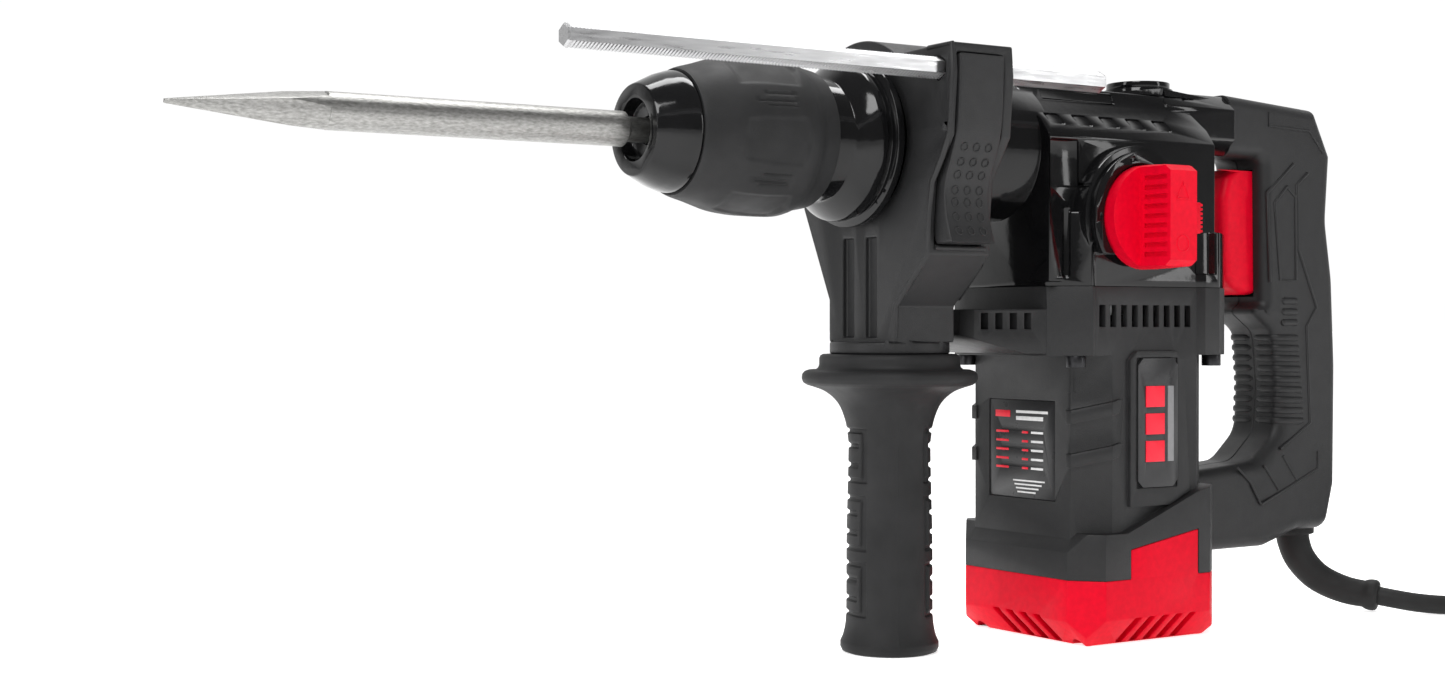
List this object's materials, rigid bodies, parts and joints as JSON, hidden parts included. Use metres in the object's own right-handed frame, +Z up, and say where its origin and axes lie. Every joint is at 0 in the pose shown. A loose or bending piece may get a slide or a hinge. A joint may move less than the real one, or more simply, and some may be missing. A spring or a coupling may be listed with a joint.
{
  "type": "rotary demolition hammer",
  "caption": "L-shaped electric hammer with a vertical motor, point chisel in a locking chuck, swivelling side handle, depth rod and D-shaped rear handle.",
  "frame": {"origin": "middle of the flat base of the motor's end cap, on the motor axis", "axes": "+Z up along the motor axis, the tool points along -X, the operator's left is -Y"},
  "size_m": [0.8027, 0.1742, 0.259],
  "materials": {
    "gloss_black": "glossy black coat on a die casting",
    "moulded_black": "fine-grained black moulding",
    "rubber_black": "soft black overmould",
    "red_plastic": "satin red moulding",
    "tool_steel": "ground and sandblasted tool steel",
    "steel": "machined steel",
    "black_steel": "black oxide steel",
    "zinc": "bright zinc plate",
    "copper": "enamelled copper",
    "bronze": "sintered bronze",
    "aluminium": "die-cast aluminium",
    "lamination": "stacked laminations",
    "carbon": "pressed carbon",
    "label": "printed film",
    "nylon": "glass-filled nylon",
    "cord_rubber": "flexible rubber sheath"
  },
  "bodies": {
    "housing": {"gear_housing": "gloss_black", "front_collar": "gloss_black", "grease_cap": "gloss_black", "motor_housing": "moulded_black", "end_cap": "red_plastic", "bearing_plate": "aluminium", "housing_screws": "black_steel", "end_cap_screws": "black_steel", "nameplate": "label", "side_badge": "label", "mode_dial": "gloss_black", "handle_left_shell": "rubber_black", "handle_right_shell": "rubber_black", "handle_screws": "black_steel", "trigger_pin": "steel", "trigger_spring": "steel", "switch_body": "nylon", "cable_clamp": "nylon", "strain_relief": "cord_rubber", "spindle_bearing": "steel", "spindle_bush": "bronze", "crank_bearings": "steel", "drive_bearings": "steel", "motor_bearings": "steel", "stator": "lamination", "brush_holders": "bronze", "carbon_brushes": "carbon", "cord": "cord_rubber", "cord_coil": "cord_rubber", "plug_body": "cord_rubber", "plug_pins": "zinc"},
    "armature": {"armature": "lamination", "commutator": "copper", "cooling_fan": "nylon"},
    "crank": {"crank_gear": "steel"},
    "rod": {"connecting_rod": "aluminium", "wrist_pin": "steel"},
    "piston": {"piston": "aluminium"},
    "drive_shaft": {"drive_gear": "steel"},
    "spindle": {"spindle": "steel", "face_gear": "steel", "nose_cap": "gloss_black", "locking_balls": "zinc", "chuck_spring": "steel"},
    "sleeve": {"chuck_sleeve": "moulded_black", "lock_ring": "steel"},
    "chisel": {"point_chisel": "tool_steel"},
    "anvil": {"anvil": "steel"},
    "striker": {"striker": "steel"},
    "mode_knob": {"mode_knob": "red_plastic", "mode_spindle": "steel"},
    "mode_lock": {"mode_lock_button": "red_plastic"},
    "trigger": {"trigger": "red_plastic"},
    "side_handle": {"handle_bracket": "moulded_black", "clamp_band": "zinc", "clamp_bolt": "zinc", "lever_pin": "steel"},
    "side_grip": {"side_grip": "rubber_black"},
    "depth_rod": {"depth_rod": "zinc"},
    "rod_lever": {"rod_lever": "moulded_black"}
  },
  "joints": [
    {"name": "armature_spin", "type": "hinge", "parent": "housing", "child": "armature", "pos_m": [0, 0, 0.1], "axis": [0, 0, 1], "continuous": true},
    {"name": "crank_spin", "type": "hinge", "parent": "housing", "child": "crank", "pos_m": [0.024, 0, 0.2], "axis": [0, 0, 1], "continuous": true},
    {"name": "rod_swing", "type": "hinge", "parent": "crank", "child": "rod", "pos_m": [0.0175, 0, 0.216], "axis": [0, 0, 1], "continuous": true},
    {"name": "piston_slide", "type": "slide", "parent": "housing", "child": "piston", "axis": [1, 0, 0], "range_m": [0, 0.013]},
    {"name": "drive_spin", "type": "hinge", "parent": "housing", "child": "drive_shaft", "pos_m": [-0.024, 0, 0.17], "axis": [0, 0, 1], "continuous": true},
    {"name": "spindle_spin", "type": "hinge", "parent": "housing", "child": "spindle", "pos_m": [-0.1, 0, 0.216], "axis": [1, 0, 0], "continuous": true},
    {"name": "sleeve_slide", "type": "slide", "parent": "spindle", "child": "sleeve", "axis": [1, 0, 0], "range_m": [0, 0.008], "stiffness_N_per_m": 1500, "springref_m": -0.004, "deforming": ["chuck_spring"]},
    {"name": "chisel_slide", "type": "slide", "parent": "spindle", "child": "chisel", "axis": [1, 0, 0], "range_m": [-0.006, 0]},
    {"name": "anvil_slide", "type": "slide", "parent": "spindle", "child": "anvil", "axis": [1, 0, 0], "range_m": [0, 0.008]},
    {"name": "striker_slide", "type": "slide", "parent": "spindle", "child": "striker", "axis": [1, 0, 0], "range_m": [-0.003, 0.006]},
    {"name": "mode_turn", "type": "hinge", "parent": "housing", "child": "mode_knob", "pos_m": [-0.011, -0.045, 0.186], "axis": [0, 1, 0], "range_deg": [-90, 90]},
    {"name": "mode_lock_press", "type": "slide", "parent": "mode_knob", "child": "mode_lock", "axis": [-1, 0, 0], "range_m": [0, 0.0018], "stiffness_N_per_m": 600, "springref_m": -0.001},
    {"name": "trigger_pull", "type": "hinge", "parent": "housing", "child": "trigger", "pos_m": [0.104, 0, 0.21], "axis": [0, -1, 0], "range_deg": [0, 5], "stiffness_Nm_per_rad": 1.5, "springref_deg": -2.86, "deforming": ["trigger_spring"]},
    {"name": "side_handle_swivel", "type": "hinge", "parent": "housing", "child": "side_handle", "pos_m": [-0.114, 0, 0.216], "axis": [1, 0, 0], "range_deg": [-180, 20]},
    {"name": "grip_twist", "type": "hinge", "parent": "side_handle", "child": "side_grip", "pos_m": [-0.114, 0, 0.1], "axis": [0, 0, 1], "range_deg": [-180, 0]},
    {"name": "depth_rod_slide", "type": "slide", "parent": "side_handle", "child": "depth_rod", "axis": [1, 0, 0], "range_m": [-0.05, 0.15]},
    {"name": "rod_lever_press", "type": "hinge", "parent": "side_handle", "child": "rod_lever", "pos_m": [-0.115, -0.0578, 0.218], "axis": [1, 0, 0], "range_deg": [0, 2.5], "stiffness_Nm_per_rad": 2, "springref_deg": -2.86}
  ],
  "couplings": [
    {"joint": "crank_spin", "follows": "armature_spin", "ratio": -0.2},
    {"joint": "rod_swing", "follows": "armature_spin", "ratio": 0.2},
    {"joint": "drive_spin", "follows": "armature_spin", "ratio": -0.2},
    {"joint": "spindle_spin", "follows": "armature_spin", "ratio": 0.05}
  ]
}
